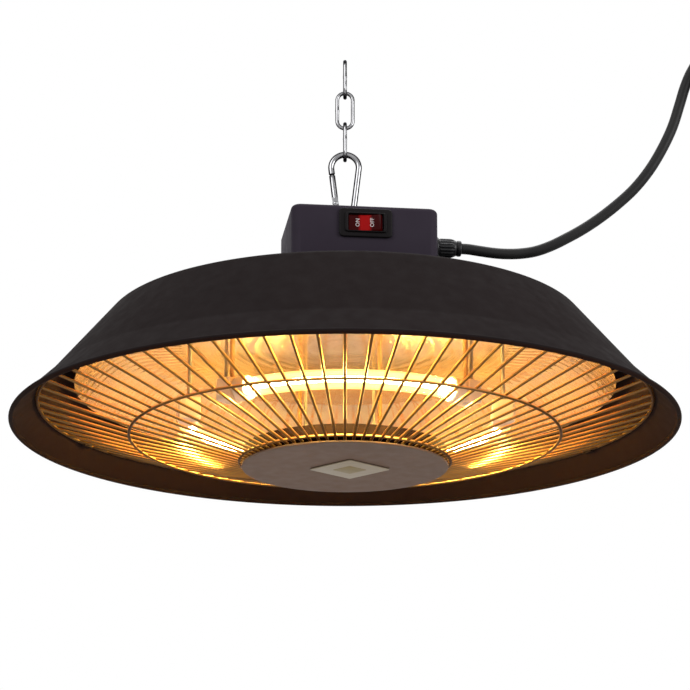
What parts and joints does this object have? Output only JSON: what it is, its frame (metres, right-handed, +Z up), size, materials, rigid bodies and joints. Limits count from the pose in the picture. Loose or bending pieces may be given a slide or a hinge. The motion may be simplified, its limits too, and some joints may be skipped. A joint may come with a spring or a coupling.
{
  "type": "hanging infrared heater",
  "caption": "Round hanging infrared heater with a flared black shade, wire guard, quartz lamps, switch box, snap hook on a chain and a coiled power cord.",
  "frame": {"origin": "the hanging point, inside the top of the uppermost chain link", "axes": "+Z up along the heater's axis, -Y towards the switch, +X towards the cord gland"},
  "size_m": [0.5554, 0.425, 0.3362],
  "materials": {
    "black_coat": "matt",
    "polished_copper": "polished, copper toned",
    "guard_wire": "satin",
    "hub_coat": "matt",
    "badge": "satin",
    "zinc": "bright zinc",
    "chrome": "polished",
    "quartz": "clear",
    "tungsten": "glowing",
    "ceramic": "matt",
    "box_plastic": "matt",
    "black_plastic": "satin",
    "rocker_red": "gloss",
    "black_rubber": "matt",
    "lead_sleeve": "woven sleeve",
    "live_sleeve": "satin",
    "neutral_sleeve": "satin",
    "earth_sleeve": "satin",
    "brass": "satin"
  },
  "bodies": {
    "chain_top": {"chain_link_3": "zinc"},
    "chain_middle": {"chain_link_2": "zinc"},
    "chain_bottom": {"chain_link_1": "zinc"},
    "hook": {"snap_hook": "chrome"},
    "gate": {"snap_gate": "chrome"},
    "heater": {"shade": "black_coat", "hub_pan": "black_coat", "reflector": "polished_copper", "guard_grille": "guard_wire", "hub_plate": "hub_coat", "hub_badge": "badge", "deck_nut_1": "zinc", "deck_nut_2": "zinc", "deck_nut_3": "zinc", "guard_clip_1": "zinc", "guard_clip_2": "zinc", "guard_clip_3": "zinc", "hub_nut": "zinc", "box_screw_1": "zinc", "box_screw_2": "zinc", "hanging_eye": "zinc", "eye_nut_front": "zinc", "eye_nut_back": "zinc", "quartz_tube_left": "quartz", "quartz_tube_middle": "quartz", "quartz_tube_right": "quartz", "filament_left": "tungsten", "filament_middle": "tungsten", "filament_right": "tungsten", "end_cap_left_1": "ceramic", "end_cap_left_2": "ceramic", "end_cap_middle_1": "ceramic", "end_cap_middle_2": "ceramic", "end_cap_right_1": "ceramic", "end_cap_right_2": "ceramic", "terminal_block": "ceramic", "junction_box": "box_plastic", "gland_body": "black_plastic", "gland_nut": "black_plastic", "switch_housing": "black_plastic", "box_gasket": "black_rubber", "cord_lead": "black_rubber", "cord_coil": "black_rubber", "cord_tail": "black_rubber", "coil_tie": "black_rubber", "plug_body": "black_rubber", "lamp_lead_left_1": "lead_sleeve", "lamp_lead_left_2": "lead_sleeve", "lamp_lead_middle_1": "lead_sleeve", "lamp_lead_middle_2": "lead_sleeve", "lamp_lead_right_1": "lead_sleeve", "lamp_lead_right_2": "lead_sleeve", "live_core": "live_sleeve", "switch_wire": "live_sleeve", "neutral_core": "neutral_sleeve", "earth_core": "earth_sleeve", "plug_insert": "brass"},
    "rocker": {"switch_rocker": "rocker_red"}
  },
  "joints": [
    {"name": "upper_link_swing", "type": "hinge", "parent": "chain_top", "child": "chain_middle", "pos_m": [0, 0, -0.02345], "axis": [0, 1, 0], "range_deg": [-60, 60]},
    {"name": "lower_link_swing", "type": "hinge", "parent": "chain_middle", "child": "chain_bottom", "pos_m": [0, 0, -0.04535], "axis": [1, 0, 0], "range_deg": [-60, 60]},
    {"name": "hook_swing", "type": "hinge", "parent": "chain_bottom", "child": "hook", "pos_m": [0, 0, -0.06725], "axis": [0, 1, 0], "range_deg": [-60, 60]},
    {"name": "heater_swing", "type": "hinge", "parent": "hook", "child": "heater", "pos_m": [0, 0, -0.1075], "axis": [1, 0, 0], "range_deg": [-60, 60]},
    {"name": "gate_opening", "type": "hinge", "parent": "hook", "child": "gate", "pos_m": [-0.00608, 0, -0.0975], "axis": [0, 1, 0], "range_deg": [0, 35], "stiffness_Nm_per_rad": 0.01},
    {"name": "rocker_tilt", "type": "hinge", "parent": "heater", "child": "rocker", "pos_m": [0.01277, -0.03474, -0.1237], "axis": [0, 0, 1], "range_deg": [0, 16]}
  ]
}
